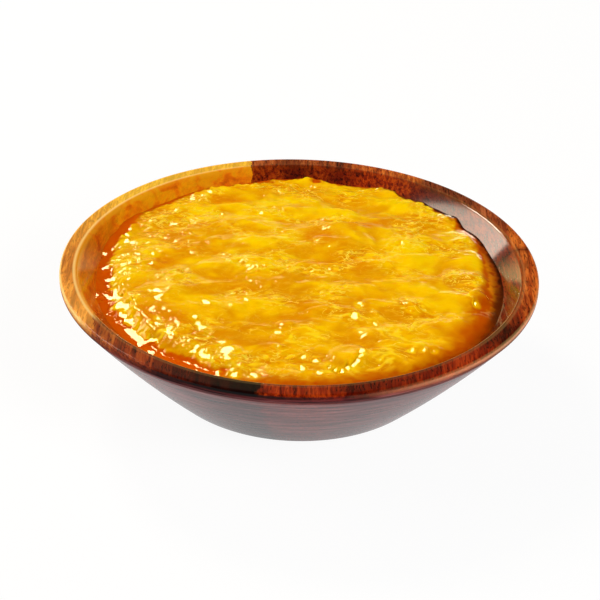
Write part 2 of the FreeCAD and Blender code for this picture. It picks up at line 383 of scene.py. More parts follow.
def spin_bowl():
    """The bowl, spun from its section and closed where the ends of the turn meet."""
    bowl = draw_line("turned_bowl", section)
    bpy.ops.object.mode_set(mode="EDIT")
    bpy.ops.mesh.select_all(action="SELECT")
    bpy.ops.mesh.spin(steps=SPIN_STEPS, angle=2 * math.pi, center=(0, 0, 0), axis=(0, 0, 1))
    bpy.ops.mesh.select_all(action="SELECT")
    bpy.ops.mesh.remove_doubles(threshold=1e-6)
    bpy.ops.mesh.normals_make_consistent(inside=False)
    bpy.ops.object.mode_set(mode="OBJECT")
    bpy.ops.object.shade_smooth()
    return bowl


bowl = spin_bowl()
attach(bowl, "root")
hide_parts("bowl")
print("bowl faces", len(bowl.data.polygons))

# %% [markdown]
# ## Acacia under lacquer
# The blank is glued from strips of acacia about 25 mm wide that run front to back, so the colour jumps at
# straight glue lines: honey sapwood on the left and at the back left, near black and red-brown heartwood
# elsewhere. Pores are long in the grain, so they are short dark dashes at the sides and fine radial
# lines at the front. A clear gloss lacquer lies over all of it and gives the sharp reflections.

# %% The strips, the marks of use and the painted rim highlights

# Glue lines across the bowl, as shares of the rim's radius from the middle.
GLUE_LINES = [-0.81, -0.55, -0.15, 0.185, 0.55, 0.90]
GLUE_LINES_BACK = [-0.81, -0.55, -0.235, 0.185, 0.55, 0.90]  # the planks taper a little towards the back
# Colour of each strip at the front, in the middle and at the back, from left to right.
STRIP_FRONT = ["#FFB44C", "#B4561E", "#8A3E16", "#A83A0A", "#922A06", "#A4380E", "#B4541C"]
STRIP_MIDDLE = ["#F4A63C", "#FFB848", "#6A3014", "#A4480E", "#9A3C10", "#B04A18", "#D46E28"]
STRIP_BACK = ["#FFC83C", "#FFCC3C", "#FFC83C", "#CC7438", "#E08434", "#BC6C40", "#E48028"]
LINE_SWAY = 4.0 * MM  # reach of the noise that moves the lines, of which about 1 mm shows

# Tone of the wood by compass angle in degrees: 0 is the right, 90 the back, -90 the front.
MINERAL_TONES = [
    (-180, "#F0E8E0"), (-160, "#FFFFFF"), (-150, "#FFFFFF"), (-145, "#D8C0A8"), (-136, "#FFFFFF"),
    (-126, "#E8D0C4"), (-116, "#B08470"), (-110, "#7A564A"), (-104, "#44302A"), (-98, "#342422"),
    (-97, "#FFFFFF"), (-82, "#FFFFFF"), (-76, "#B0A098"), (-62, "#FFFFFF"), (-48, "#FFF4E8"),
    (-41, "#E0C8C0"), (-36, "#8A7474"), (-29, "#8C7474"), (-24, "#FFFFFF"), (8, "#FFFFFF"),
    (10, "#8A6858"), (12, "#FFFFFF"), (34, "#FFFFFF"), (42, "#B09890"), (54, "#C0A8A0"), (57, "#FFFFFF"),
    (70, "#FFE8E0"), (79, "#B08880"), (84, "#FFFFFF"), (93, "#C0A8A0"), (98, "#FFFFFF")]
STREAK_SWAY = 0.10  # radians

# How far the inner and the outer edge of the rim are painted paler: partly worn to bare pale wood, partly a
# painted highlight along the rounded edges.
INNER_RUB_AND_HIGHLIGHT = [
    (-180, 1.0), (-152, 1.0), (-146, 0.10), (-60, 0.04), (-30, 0.12), (20, 0.15), (60, 0.03), (104, 0.03),
    (109, 0.60), (150, 1.0)]
OUTER_RUB_AND_HIGHLIGHT = [
    (-180, 0.80), (-150, 0.85), (-144, 0.0), (-75, 0.0), (-55, 0.08), (-25, 0.16), (0, 0.12), (104, 0.05),
    (109, 0.50), (150, 0.80)]
# The lip below the outer edge is darker at the front.
LIP_TONES = [
    (-165, "#FFFFFF"), (-135, "#E8D8D0"), (-120, "#A08888"), (-105, "#3C3034"), (-90, "#644240"),
    (-75, "#D89C84"), (-66, "#FFFFFF")]
# At the front right the lip is painted paler, a painted highlight where the light falls on it.
LIP_HIGHLIGHT = [(-180, 0.0), (-80, 0.0), (-58, 0.35), (-25, 0.55), (10, 0.30), (40, 0.0)]
print("strips", len(STRIP_FRONT), "and marks round the rim", len(MINERAL_TONES))

# %% Wood


def round_bowl(stops):
    """Ramp stops from stops by compass angle."""
    return [((angle + 180) / 360, value) for angle, value in stops]


def stretched_noise(tree, place, scale, size, detail, distortion=0.0):
    """A pattern whose blobs are about a size in metres wide, and longer where the scale is small."""
    mapping = add_node(tree, "Mapping", {"Vector": place, "Scale": scale})
    return add_node(tree, "TexNoise", {
        "Vector": mapping, "Scale": 1 / size, "Detail": detail, "Distortion": distortion})


def make_strips(tree, place, split):
    """Colour of the glued strips: it jumps across the glue lines and changes slowly along each strip."""
    # Sapwood meets heartwood in a soft, uneven line, so the lines sway a little.
    sway = add_node(tree, "Math", {
        0: stretched_noise(tree, place, (1.0, 0.6, 0.6), 1.8 * MM, 3.0), 1: LINE_SWAY,
        2: split.outputs["X"]}, operation="MULTIPLY_ADD")
    across = add_node(tree, "MapRange", {
        "Value": sway, "From Min": -RIM_RADIUS + LINE_SWAY / 2, "From Max": RIM_RADIUS + LINE_SWAY / 2})
    shades = []
    for colours, lines in ((STRIP_FRONT, GLUE_LINES), (STRIP_MIDDLE, GLUE_LINES),
                           (STRIP_BACK, GLUE_LINES_BACK)):
        edges = [0.0] + [(x + 1) / 2 for x in lines]
        shade = add_node(tree, "ValToRGB", {0: across}, stops=list(zip(edges, colours)))
        shade.color_ramp.interpolation = "CONSTANT"
        shades.append(shade)
    mixed = shades[0]
    for shade, start, end in ((shades[1], -0.8, -0.1), (shades[2], 0.0, 0.7)):
        share = add_node(tree, "MapRange", {
            "Value": split.outputs["Y"], "From Min": start * RIM_RADIUS, "From Max": end * RIM_RADIUS},
            **SOFT)
        mixed = add_node(tree, "Mix", {0: share, 6: mixed, 7: shade}, **MIX)
    return mixed


def make_figure(tree, place, strips, pores):
    """The strips with their figure, which is stronger in the heartwood, and the share of heartwood."""
    # Growth lines 1.2 mm wide and long along Y; figure: wide cloudy bands; flecks: short darker dashes;
    # pores: 0.2 mm wide, drawn 0.4 mm wide so that they show. Each one darkens a common figure.
    layers = [(stretched_noise(tree, place, (1.0, 0.06, 1.0), 1.2 * MM, 4.0, 0.4), 0.85,
               [(0.32, "#6A3218"), (0.44, "#D4A07C"), (0.56, "#FFFFFF")]),
              (stretched_noise(tree, place, (1.0, 0.35, 1.0), 9.0 * MM, 2.0, 0.3), 0.45,
               [(0.36, "#AA7A5C"), (0.52, "#FFFFFF")]),
              (stretched_noise(tree, place, (1.0, 0.14, 1.0), 0.8 * MM, 3.0, 0.3), 0.60,
               [(0.36, "#66341E"), (0.46, "#D0A48C"), (0.56, "#FFFFFF")]),
              (pores, 0.65, [(0.28, "#4A2410"), (0.38, "#FFFFFF")])]
    figure = strips
    for noise, share, stops in layers:
        tone = add_node(tree, "ValToRGB", {0: noise}, stops=stops)
        figure = add_node(tree, "Mix", {0: share, 6: figure, 7: tone}, **TIMES)
    # Red tells the pale sapwood from the heartwood.
    redness = add_node(tree, "SeparateColor", {0: strips})
    heart = add_node(tree, "MapRange", {
        "Value": redness, "From Min": 1.00, "From Max": 0.78, "To Min": 0.42, "To Max": 1.0})
    return add_node(tree, "Mix", {0: heart, 6: strips, 7: figure}, **MIX), heart


def rim_wear_and_painted_light(tree, wood, compass, outward, high):
    """The rim's edges painted paler, partly as worn wood and partly as a painted highlight, the lip below
    the outer one dark, and a painted highlight on the lip; also returns where the lip is.
    """
    on_top = add_node(tree, "MapRange", {
        "Value": high, "From Min": RIM_HEIGHT - 1.3 * MM, "From Max": RIM_HEIGHT - 0.5 * MM})
    # Each edge is painted paler: partly bare worn wood, partly a painted highlight along its rounding.
    for start, end, rub_and_highlight in ((inner_mm + 1.5, inner_mm + 0.8, INNER_RUB_AND_HIGHLIGHT),
                            (rim_mm - 0.7, rim_mm - 0.3, OUTER_RUB_AND_HIGHLIGHT)):
        amount = add_node(tree, "ValToRGB", {0: compass}, stops=round_bowl(rub_and_highlight))
        band = add_node(tree, "MapRange", {"Value": outward, "From Min": start * MM, "From Max": end * MM})
        rubbed_and_lit = add_node(tree, "Math", {0: band, 1: on_top}, operation="MULTIPLY")
        rubbed_and_lit = add_node(tree, "Math", {0: rubbed_and_lit, 1: amount}, operation="MULTIPLY")
        wood = add_node(tree, "Mix", {0: rubbed_and_lit, 6: wood, 7: "#FFDC8C"}, **MIX)
    band = add_node(tree, "MapRange", {
        "Value": outward, "From Min": (rim_mm - 0.9) * MM, "From Max": (rim_mm - 0.3) * MM})
    under = add_node(tree, "MapRange", {
        "Value": high, "From Min": RIM_HEIGHT - 0.4 * MM, "From Max": RIM_HEIGHT - 0.8 * MM})
    lip = add_node(tree, "Math", {0: band, 1: under}, operation="MULTIPLY")
    tone = add_node(tree, "ValToRGB", {0: compass}, stops=round_bowl(LIP_TONES))
    toned = add_node(tree, "Mix", {0: 1.0, 6: wood, 7: tone}, **TIMES)
    wood = add_node(tree, "Mix", {0: lip, 6: wood, 7: toned}, **MIX)
    # Painted highlight on the lip at the front right.
    lip_highlight = add_node(tree, "ValToRGB", {0: compass}, stops=round_bowl(LIP_HIGHLIGHT))
    pale = add_node(tree, "Math", {0: lip, 1: lip_highlight}, operation="MULTIPLY")
    return add_node(tree, "Mix", {0: pale, 6: wood, 7: "#E8A478"}, **MIX), lip


def soak_inside(tree, wood, strips, heart, place, high):
    """Inside, syrup has soaked the wood in smears about 6 mm wide, deeper and redder down by the jam."""
    depth = add_node(tree, "MapRange", {
        "Value": high, "From Min": 26 * MM, "From Max": 37 * MM, "To Min": -0.18, "To Max": 0.14})
    smears = stretched_noise(tree, place, (1.0, 1.0, 1.6), 6.0 * MM, 4.0, 1.0)
    level = add_node(tree, "Math", {0: smears, 1: depth}, operation="ADD")
    stain = add_node(tree, "ValToRGB", {0: level},
                     stops=[(0.36, "#D0641C"), (0.46, "#F89828"), (0.54, "#FFC034"), (0.66, "#FFE044")])
    soak = add_node(tree, "Mix", {0: heart, 6: stain, 7: "#CC9038"}, **MIX)
    plain = add_node(tree, "Mix", {0: heart, 6: strips, 7: wood}, **MIX)
    return add_node(tree, "Mix", {0: 1.0, 6: plain, 7: soak}, **TIMES)


def tone_outside(tree, wood, turned, place, high):
    """Outside, the strips show as one dusky brown with fine turning lines round the bowl; its mauve grey is
    partly a painted reflection of the pale floor, and it is darker towards the bottom.
    """
    shell = add_node(tree, "ValToRGB", {0: turned},
                     stops=[(0.34, "#2A1014"), (0.46, "#62282C"), (0.66, "#985656")])
    clouds = stretched_noise(tree, place, (0.3, 0.3, 1.0), 9.0 * MM, 2.0)
    # Bluish grey clouds, partly a painted reflection of the pale floor.
    patchy = add_node(tree, "ValToRGB", {0: clouds}, stops=[(0.36, "#B0A4BC"), (0.60, "#FFFFFF")])
    shell = add_node(tree, "Mix", {0: 0.8, 6: shell, 7: patchy}, **TIMES)
    low = add_node(tree, "MapRange", {"Value": high, "From Min": 26 * MM, "From Max": 2 * MM})
    dim = add_node(tree, "Mix", {0: 1.0, 6: shell, 7: "#B4949C"}, **TIMES)
    shell = add_node(tree, "Mix", {0: low, 6: shell, 7: dim}, **MIX)
    return add_node(tree, "Mix", {0: 0.22, 6: shell, 7: wood}, **MIX)


def make_wood():
    """Lacquered acacia, whose colour depends on the strip, the compass angle and the face of the bowl."""
    material, tree, shader = new_material("lacquered_acacia")
    place = add_node(tree, "TexCoord").outputs["Object"]
    split = add_node(tree, "SeparateXYZ", {0: place})
    high = split.outputs["Z"]
    pores = stretched_noise(tree, place, (1.0, 0.22, 1.0), 0.42 * MM, 0.0)
    turned = stretched_noise(tree, place, (0.05, 0.05, 1.0), 0.8 * MM, 3.0)
    strips = make_strips(tree, place, split)
    wood, heart = make_figure(tree, place, strips, pores)

    # Mineral streaks and knots: tone of the rim and walls round the bowl, by compass angle.
    turn = add_node(tree, "Math", {0: split.outputs["Y"], 1: split.outputs["X"]}, operation="ARCTAN2")
    wobble = stretched_noise(tree, place, (1.0, 0.4, 1.0), 2.5 * MM, 2.0)
    swayed = add_node(tree, "Math", {0: wobble, 1: STREAK_SWAY, 2: turn}, operation="MULTIPLY_ADD")
    compass = add_node(tree, "MapRange", {
        "Value": swayed, "From Min": -math.pi + STREAK_SWAY / 2, "From Max": math.pi + STREAK_SWAY / 2})
    tones = add_node(tree, "ValToRGB", {0: compass}, stops=round_bowl(MINERAL_TONES))
    wood = add_node(tree, "Mix", {0: 1.0, 6: wood, 7: tones}, **TIMES)

    # The cone's two faces are told apart by how far out they lie for their height.
    flat = add_node(tree, "VectorMath", {0: place, 1: (1.0, 1.0, 0.0)}, operation="MULTIPLY")
    outward = add_node(tree, "VectorMath", {0: flat}, operation="LENGTH")
    climb = add_node(tree, "Math", {0: high, 1: -1 / math.tan(wall_slope)}, operation="MULTIPLY")
    shift = add_node(tree, "Math", {0: outward, 1: climb}, operation="ADD")
    inner_shift = wall_radius(30.0) - 30.0 / math.tan(wall_slope)
    inside = add_node(tree, "MapRange", {
        "Value": shift, "From Min": (inner_shift + 1.1) * MM, "From Max": (inner_shift + 0.2) * MM})
    outside = add_node(tree, "MapRange", {
        "Value": shift, "From Min": (FOOT_RADIUS - 0.9) * MM, "From Max": (FOOT_RADIUS - 0.2) * MM})
    wood, lip = rim_wear_and_painted_light(tree, wood, compass, outward, high)
    soaked = soak_inside(tree, wood, strips, heart, place, high)
    wood = add_node(tree, "Mix", {0: inside, 6: wood, 7: soaked}, **MIX)
    dusky = tone_outside(tree, wood, turned, place, high)
    wood = add_node(tree, "Mix", {0: outside, 6: wood, 7: dusky}, **MIX)

    # The lacquer is thick inside, thinner outside, and almost gone on the lip and the outer edge.
    polish = add_node(tree, "MapRange", {"Value": outside, "To Min": 1.0, "To Max": 0.48})
    dull = add_node(tree, "MapRange", {
        "Value": outward, "From Min": (rim_mm - 1.6) * MM, "From Max": (rim_mm - 0.9) * MM})
    bare = add_node(tree, "Math", {0: lip, 1: dull}, operation="MAXIMUM")
    lacquer = add_node(tree, "Math", {0: bare, 1: -0.90, 2: polish},
                       operation="MULTIPLY_ADD", use_clamp=True)
    bump = add_node(tree, "Bump", {"Height": pores, "Strength": 0.12, "Distance": 0.08 * MM})
    bump = add_node(tree, "Bump", {
        "Height": turned, "Normal": bump, "Strength": 0.25, "Distance": 0.15 * MM})
    fill(tree, shader, {
        "Base Color": wood, "Roughness": 0.55, "Specular IOR Level": 0.05, "Coat Weight": lacquer,
        "Coat Roughness": 0.11, "Coat IOR": 1.65, "Normal": bump})
    return material


bowl.data.materials.append(make_wood())
print("wood nodes", len(bowl.data.materials[0].node_tree.nodes))

# %% [markdown]
# ## The jam's surface
# Stirred apricot jam is a heap of soft pulp pulled into crossing strands. Its broad shape is read from the
# CAD jam, and the finer relief is added on a dense grid: lumps a few millimetres wide, then combed strands.
# A grid is used and not a fluid, because nothing flows any more and each scale of relief can be set.

# %% The grid

GRID_STEP = 0.39  # millimetres between neighbouring points
jam_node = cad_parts["apricot_jam"]
jam_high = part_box("apricot_jam")[1]
GRID_HALF = 68.4  # a little past the inner wall
half_count = round(GRID_HALF / GRID_STEP)
axis_marks = np.arange(-half_count, half_count + 1) * GRID_STEP
grid_x, grid_y = np.meshgrid(axis_marks, axis_marks, indexing="ij")
grid_out = np.hypot(grid_x, grid_y)
print("grid", len(axis_marks), "points a side")


def blur(field, sigma):
    """Gaussian blur of a grid field; sigma in millimetres."""
    reach = max(int(3 * sigma / GRID_STEP), 1)
    offsets = np.arange(-reach, reach + 1) * GRID_STEP
    weights = np.exp(-0.5 * (offsets / sigma) ** 2)
    weights /= weights.sum()
    padded = np.pad(field, reach, mode="edge")
    rows = sum(w * padded[i:i + field.shape[0], :] for i, w in enumerate(weights))
    return sum(w * rows[:, i:i + field.shape[1]] for i, w in enumerate(weights))


def soft_noise(seed, sigma):
    """Smooth random field with zero mean and unit spread; sigma in millimetres sets its blobs."""
    draw = np.random.default_rng(seed)
    field = blur(draw.standard_normal(grid_x.shape), sigma)
    return (field - field.mean()) / field.std()


def smooth(low, high, value):
    """A soft step from 0 at low to 1 at high."""
    share = np.clip((value - low) / (high - low), 0.0, 1.0)
    return share * share * (3 - 2 * share)


def cad_heights():
    """Height of the CAD jam under each grid point, in millimetres; beyond its edge, that of the edge."""
    mesh = jam_node.data
    tree = BVHTree.FromPolygons([v.co for v in mesh.vertices], [tuple(p.vertices) for p in mesh.polygons])
    above = jam_high.z + 0.01
    down = Vector((0, 0, -1))
    heights = np.zeros(grid_x.shape)
    for i in range(grid_x.shape[0]):
        for j in range(grid_x.shape[1]):
            x, y = grid_x[i, j], grid_y[i, j]
            for shrink in (1.0, 0.985, 0.97, 0.955, 0.94, 0.92, 0.9, 0.8):
                hit = tree.ray_cast(Vector((x * shrink * MM, y * shrink * MM, above)), down)
                if hit[0] is not None and hit[0].z > 0.6 * jam_high.z:
                    heights[i, j] = hit[0].z / MM
                    break
                if grid_out[i, j] < 55:
                    break
    return heights


cad_height = blur(cad_heights(), 0.9)
middle_height = cad_height[grid_out < 60]
print("CAD jam heights", middle_height.min().round(2), "to", middle_height.max().round(2))

# %% Relief of the pulp


def sample(field, x, y):
    """Bilinear reading of a grid field at one place or many, in millimetres."""
    fx = np.clip((x + half_count * GRID_STEP) / GRID_STEP, 0, field.shape[0] - 1.001)
    fy = np.clip((y + half_count * GRID_STEP) / GRID_STEP, 0, field.shape[1] - 1.001)
    ix, iy = fx.astype(int), fy.astype(int)
    tx, ty = fx - ix, fy - iy
    top = field[ix, iy] * (1 - tx) + field[ix + 1, iy] * tx
    low = field[ix, iy + 1] * (1 - tx) + field[ix + 1, iy + 1] * tx
    return top * (1 - ty) + low * ty


def comb(field, angle, length, step=0.45):
    """Smears a field along the flow, which turns grains into strands of a length in millimetres."""
    total = field.copy()
    count = 1
    for way in (1, -1):
        x, y = grid_x.copy(), grid_y.copy()
        for _ in range(int(length / 2 / step)):
            turn = sample(angle, x, y)
            x += way * step * np.cos(turn)
            y += way * step * np.sin(turn)
            total += sample(field, x, y)
            count += 1
    total /= count
    return (total - total.mean()) / total.std()


def stretched(seed, sigma, ratio):
    """Random blobs that are a few times longer from side to side than from front to back."""
    draw = np.random.default_rng(seed)
    tall = blur(draw.standard_normal(grid_x.shape), sigma)
    reach = max(int(3 * sigma * ratio / GRID_STEP), 1)
    weights = np.exp(-0.5 * (np.arange(-reach, reach + 1) * GRID_STEP / (sigma * ratio)) ** 2)
    padded = np.pad(tall, ((reach, reach), (0, 0)), mode="wrap")
    field = sum(w * padded[i:i + tall.shape[0], :] for i, w in enumerate(weights))
    return (field - field.mean()) / field.std()


azimuth = np.degrees(np.arctan2(grid_y, grid_x))
wall_reach = np.vectorize(wall_radius)(cad_height)
from_wall = wall_reach - grid_out


def sector(middle, half_width):
    """1 along an azimuth in degrees, falling softly to 0 at a half width to either side."""
    swing = np.abs((azimuth - middle + 180) % 360 - 180) / half_width
    return 1 - smooth(0.35, 1.0, swing)


# Flow: the spoon pulled the fibres from side to side, rising a little and more mixed to the right.
flow_angle = math.radians(7) + 0.32 * soft_noise(3, 8.0)
flow_angle += (0.32 + 0.22 * smooth(10, 45, grid_x)) * soft_noise(4, 3.0)
flow_angle += 0.42 * soft_noise(5, 1.4)
mounds = stretched(21, 2.3, 1.5)
ripples = comb(soft_noise(12, 0.95), flow_angle, 3.6)
creases = comb(soft_noise(17, 0.42), flow_angle, 1.9)
strands = comb(soft_noise(11, 0.36), flow_angle, 3.6)
crinkle = comb(1 - np.abs(soft_noise(18, 0.62)), flow_angle, 1.2)
patches = comb(soft_noise(15, 3.4), flow_angle, 8.0)
pebbles = soft_noise(16, 0.85)
grains = soft_noise(14, 0.45)
crisp = np.clip(strands - 0.75, 0, 2.2)  # only the tallest strands stand out, as single fibres
patch = smooth(-0.5, 0.9, patches)

# At the left the pulp stays level almost to its edge and then falls evenly into the syrup.
LEVEL_TO = 46.0  # the pulp is level out to this radius
BRINK = 55.3  # and falls steeply from about this one
SYRUP_DROP = 6.45  # rim down to the syrup
turn_x, turn_y = np.cos(np.radians(azimuth)), np.sin(np.radians(azimuth))
shoulder = sample(blur(cad_height, 3.0), LEVEL_TO * turn_x, LEVEL_TO * turn_y)
fingers = 0.5 * comb(soft_noise(19, 0.5), np.radians(azimuth), 3.0)
fingers += 0.8 * comb(soft_noise(20, 1.1), np.radians(azimuth), 2.5)
brink = BRINK + 0.5 * soft_noise(23, 1.3) + 0.3 * fingers
level_edge = shoulder - 0.06 * np.clip(grid_out - LEVEL_TO, 0, 9.5)
level_edge -= 0.55 * np.clip(grid_out - brink, 0, 20)
level_edge = np.maximum(level_edge, height_mm - SYRUP_DROP)
cad_height = cad_height + sector(-150, 58) * smooth(44.5, 47.5, grid_out) * (level_edge - cad_height)
bevel = sector(-154, 40) * smooth(54.0, 56.0, grid_out)

# Where the pulp stands off the wall: a thin wet ring nearly all round, and the two pockets of syrup.
rim_drop = height_mm - cad_height
jag = 0.30 * pebbles + 0.20 * grains
in_pocket = smooth(4.9, 5.35, rim_drop + 0.5 * jag * (1 - bevel) - bevel * (0.75 + 0.17 * fingers))
ring_width = 0.7 + 2.8 * sector(161, 17) + 0.9 * sector(24, 36)
ring_width += 0.5 * np.sin(np.radians(azimuth * 3 + 40))
ring_width += 0.3 * np.sin(np.radians(azimuth * 7))
ring = 1 - smooth(-0.35, 0.35, from_wall - np.clip(ring_width, 0.15, 4) + 1.2 * jag)
pulp = (1 - in_pocket) * (1 - ring)

# Towards the wall the pulp thins out under syrup, over several millimetres at the front right.
edge_reach = np.full(grid_x.shape, 1.5)
for middle, half_width, reach in ((-55, 75, 7.5), (-125, 40, 4.0), (165, 40, 2.5), (0, 55, 5.5)):
    edge_reach += reach * sector(middle, half_width)
edge = smooth(edge_reach, (0.1 + 0.45 * sector(0, 45)) * edge_reach, from_wall + 1.5 * jag)

PULP_REACH = 66  # no lump has its middle farther out


def bump_field(seed, count, where, low, high, rise):
    """Rounded grains of pulp: the tallest dome wins at each place, so creases run between them."""
    draw = np.random.default_rng(seed)
    field = np.zeros(grid_x.shape)
    made = 0
    while made < count:
        x, y = draw.uniform(-PULP_REACH, PULP_REACH, 2)
        radius = draw.uniform(low, high)
        if math.hypot(x, y) > PULP_REACH or draw.random() > sample(where, x, y):
            continue
        turn = sample(flow_angle, x, y)
        half = int(1.7 * radius / GRID_STEP) + 1
        i, j = round(x / GRID_STEP) + half_count, round(y / GRID_STEP) + half_count
        near = (slice(max(i - half, 0), i + half + 1), slice(max(j - half, 0), j + half + 1))
        dx, dy = grid_x[near] - x, grid_y[near] - y
        along = dx * math.cos(turn) + dy * math.sin(turn)
        across = dy * math.cos(turn) - dx * math.sin(turn)
        away = (along / (1.6 * radius)) ** 2 + (across / radius) ** 2
        field[near] = np.maximum(field[near], rise * radius * (1 - away))
        made += 1
    return field


# Pebbly places: the front left, the left edge and the back edge, which catch the light in points.
front_left = smooth(-2, 42, -grid_y - 0.55 * grid_x) * smooth(-0.6, 0.9, soft_noise(31, 4.0))
back_edge = sector(85, 75) * smooth(9.0, 2.5, from_wall)
pebbly = np.clip(0.9 * front_left + back_edge + 0.06, 0, 1) * (1 - 0.9 * bevel)
clusters = smooth(-0.9, 0.7, soft_noise(61, 3.2))
bumps = bump_field(51, 420, pebbly * clusters, 1.1, 3.0, 0.17)
soft_bumps = bump_field(52, 160, np.ones(grid_x.shape), 2.0, 5.0, 0.12)

level_left = smooth(5, 40, -grid_x - 0.35 * grid_y)
relief = (0.15 - 0.05 * level_left) * mounds + (0.09 - 0.03 * level_left) * ripples
relief += (1 - 0.4 * level_left) * bumps
relief += soft_bumps
relief *= 1 - 0.85 * bevel
calm = 1 - 0.6 * (1 - clusters) * smooth(0, 40, -grid_y)  # between the clusters the gel lies smooth
relief += 0.04 * bevel * fingers + 0.03 * pebbly * grains
smooth_gel = smooth(-12, -45, grid_y) * smooth(-15, 10, grid_x)  # at the front right the gel lies smooth
combed = (0.25 + 0.75 * patch * (1 - bevel)) * (1 - 0.5 * smooth_gel)
combed *= 0.095 * creases + 0.105 * crinkle + 0.03 * grains
relief += combed * (1 - 0.8 * bevel) + 0.11 * crisp * patch
skirt = in_pocket * smooth(20, 45, grid_x)  # at the right the pocket holds loose skins and not clear syrup
relief *= calm
loose = 0.5 * skirt * smooth(0.5, 2.5, from_wall)
relief *= (0.04 + 0.96 * pulp + loose) * (1 - 0.75 * edge * (1 - skirt))
jam_height = cad_height + relief
print("pulp covers", round(float((pulp * (grid_out < 64)).sum() / (grid_out < 64).sum()), 3))

# %% Lumps, a bubble and wet flanks


def add_dome(x, y, radius, rise, sharpness):
    """Raises a rounded lump on the surface."""
    away = np.hypot(grid_x - x, grid_y - y) / radius
    jam_height[...] += rise * np.clip(1 - away ** sharpness, 0, 1) ** 0.8


# The largest lumps of fruit, one in the right pocket and the rest towards the front, and a bubble in the
# syrup: place, radius, rise, and how square its shoulder is.
LUMPS = [
    (15, -48.5, 6.2, 1.1, 3.5), (55.5, -12, 3.2, 1.3, 3.0), (-4, -32, 3.2, 0.8, 3.0),
    (-19, -48, 3.4, 0.9, 3.0)]
AIR_BUBBLE = (-62.0, -14.5, 1.9, 0.8, 3.0)
for lump in LUMPS + [AIR_BUBBLE]:
    add_dome(*lump)
jam_height = blur(jam_height, 0.16)

EYE = Vector((0, -0.458, 0.295))  # where a person in front looks from, in metres


def mirror_rise(x, y):
    """Slope to the right and to the back of a wet face that mirrors the high lamp towards the eye."""
    spot = Vector((x, y, 33.0)) * MM
    between = (high_lamp.location - spot).normalized() + (EYE - spot).normalized()
    return -between.x / between.z, -between.y / between.z


def add_facet(x, y, radius, length=1.0):
    """An even wet flank, low at its left front side, blended into the surface round it."""
    rise = mirror_rise(x, y)
    across = ((grid_x - x) * rise[0] + (grid_y - y) * rise[1]) / math.hypot(*rise)
    along = ((grid_y - y) * rise[0] - (grid_x - x) * rise[1]) / math.hypot(*rise)
    away = np.hypot(across, along / length) / radius
    share = smooth(1.25, 0.95, away + 0.26 * grains + 0.30 * pebbles + 0.14 * bevel * fingers)
    level = sample(broad_height, x, y)
    plane = level - 0.08 * radius + (grid_x - x) * rise[0] + (grid_y - y) * rise[1]
    plane = np.minimum(plane, jam_height + 0.32)
    jam_height[...] += share * (plane + 0.012 * crinkle - jam_height)
    np.maximum(facets, share, out=facets)
    # Painted highlight: round each wet flank the jam is painted yellower, a soft fringe to its glint.
    np.maximum(painted_glint_fringe, smooth(2.4, 1.1, away), out=painted_glint_fringe)


# Clean wet flanks of the lumps of fruit, in short even rows: first place, last place, how many,
# radius in millimetres, and how much longer than wide.
FACET_ROWS = [
    ((-57, -14), (-48, -36.5), 4, 1.8, 2.6),  # the comb of long wet ribs down the left slope
    ((-62.5, -13), (-59, -3.5), 2, 1.1, 1.2),
    ((-43, -39.5), (-43, -45), 2, 1.05, 1.35),
    ((-29.5, -46.5), (-27, -49), 2, 1.5, 1.3),  # the wet lumps along the front left
    ((-21, -47.5), (-20, -51.5), 2, 1.5, 1.5),
    ((-28.5, -56), (-12, -59), 4, 1.05, 1.1),
    ((-31, -30.5), (-28, -35.5), 3, 1.1, 1.1),  # glints on the lumps of the middle
    ((-6, -37), (-6, -45), 2, 0.85, 1.3),
    ((2, -49), (1.5, -55), 2, 1.0, 1.1),
    ((5.5, -51), (6.5, -57.5), 2, 0.85, 1.0),
    ((18.5, -20.5), (17, -27.5), 2, 1.0, 1.2),
    ((-57, 23), (-57, 17.5), 2, 1.25, 1.0),  # the lumps at the back of the left slope
    ((-43.5, 13.5), (-47, 8), 2, 1.0, 1.2),
    ((33.5, -45.5), (40, -46), 3, 0.75, 1.0),  # the small glints at the right
    ((47.5, -26.5), (54.5, -16.5), 2, 0.75, 1.6),
]
SINGLE_FACETS = [(-28.5, -22, 1.4, 1.4), (-42, -31, 0.7, 1.6), (-16, -20, 0.7, 1.6), (23, -31, 0.6, 1.6),
                 (-38.5, 1, 0.6), (24, -51, 0.7)]
# The crescent that curls round one lump at the front: its middle, reach, angles and number of facets.
CRESCENT = ((12.5, -49), 6.4, (-118, 4), 8)

broad_height = blur(jam_height, 1.2)
facets = np.zeros(grid_x.shape)
painted_glint_fringe = np.zeros(grid_x.shape)
for first, last, count, radius, length in FACET_ROWS:
    for x, y in zip(np.linspace(first[0], last[0], count), np.linspace(first[1], last[1], count)):
        add_facet(x, y, radius, length)
for facet in SINGLE_FACETS:
    add_facet(*facet)
middle, reach, angles, count = CRESCENT
for angle in np.radians(np.linspace(*angles, count)):
    add_facet(middle[0] + reach * math.cos(angle), middle[1] + reach * math.sin(angle), 1.1)

JAM_BELOW_RIM = 0.7  # no lump stands higher than this under the rim
jam_height = np.minimum(jam_height, height_mm - JAM_BELOW_RIM)
print("wet flanks cover", round(float(facets.sum() * GRID_STEP ** 2), 1), "mm2")

# %% Build the jam's mesh

# The jam's edge and side lie a little inside the wood, so that no gap shows between them.
EDGE_PAST_WALL = 0.9
SIDE_PAST_WALL = 0.5
SIDE_HEIGHTS = (26.0, 18.0, 12.0, 8.5, FLOOR_THICKNESS + 0.2)


